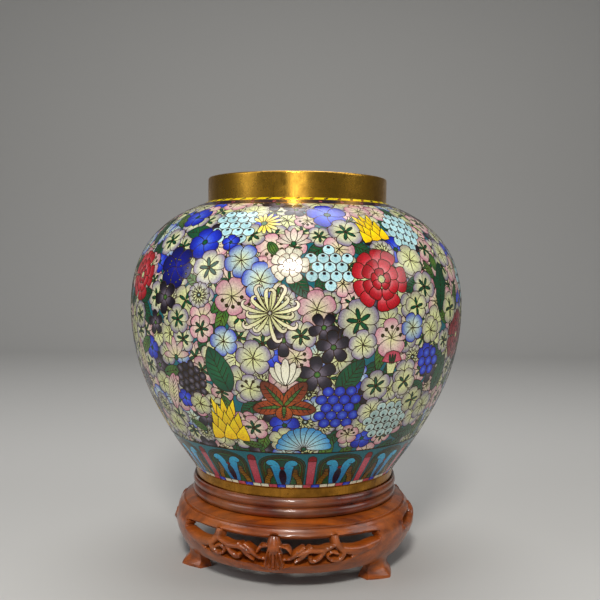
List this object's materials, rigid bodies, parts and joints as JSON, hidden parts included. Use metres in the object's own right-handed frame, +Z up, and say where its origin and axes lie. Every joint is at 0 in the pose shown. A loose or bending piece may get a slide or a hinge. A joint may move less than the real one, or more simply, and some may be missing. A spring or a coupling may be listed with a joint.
{
  "type": "cloisonne vase",
  "caption": "Globular enamelled copper jar with a short straight collar, resting in the rebated ring of a pierced round wooden stand on cabriole feet.",
  "frame": {"origin": "on the ground under the middle of the stand, on the axis of the vase", "axes": "+Z up along the axis of the vase and stand; the front carved panel of the stand faces 8.5 degrees to the left of -Y, and the scene's camera looks along +Y"},
  "size_m": [0.2, 0.2, 0.23],
  "materials": {
    "copper": "bare copper, hidden under enamel",
    "gilt_brass": "polished, thin gilding, tarnished streaks",
    "gilt_wire": "polished flush wire, darkened",
    "enamel_teal": "polished opaque glass enamel, many colours on teal",
    "enamel_red": "polished opaque glass enamel",
    "enamel_navy": "polished opaque glass enamel",
    "enamel_yellow": "polished opaque glass enamel",
    "enamel_turquoise": "plain counter enamel, slightly uneven",
    "dark_hardwood": "stained and lacquered",
    "carved_hardwood": "carved, stained and lacquered",
    "peg_wood": "plain, glued in"
  },
  "bodies": {
    "stand": {"stand_seat_ring": "dark_hardwood", "stand_seat_panel": "dark_hardwood", "stand_apron_front": "carved_hardwood", "stand_apron_right": "carved_hardwood", "stand_apron_left": "carved_hardwood", "stand_leg_right": "carved_hardwood", "stand_leg_rear": "carved_hardwood", "stand_leg_left": "carved_hardwood", "stand_seam_pegs": "peg_wood", "stand_seat_pegs": "peg_wood"},
    "vase": {"copper_lower_bowl": "copper", "copper_upper_bowl": "copper", "copper_base_plate": "copper", "brass_collar": "gilt_brass", "brass_foot_ring": "gilt_brass", "enamel_flower_field": "enamel_teal", "enamel_lappet_band": "enamel_red", "enamel_neck_band": "enamel_navy", "enamel_rope_band": "enamel_yellow", "enamel_lining": "enamel_turquoise", "enamel_under_base": "enamel_turquoise", "wire_ring_rope": "gilt_wire", "wire_ring_neck": "gilt_wire", "wire_ring_lappets": "gilt_wire", "wire_ring_foot": "gilt_wire"}
  },
  "joints": [
    {"name": "vase_lift", "type": "slide", "parent": "stand", "child": "vase", "axis": [0, 0, 1], "range_m": [0, 0.08]}
  ]
}
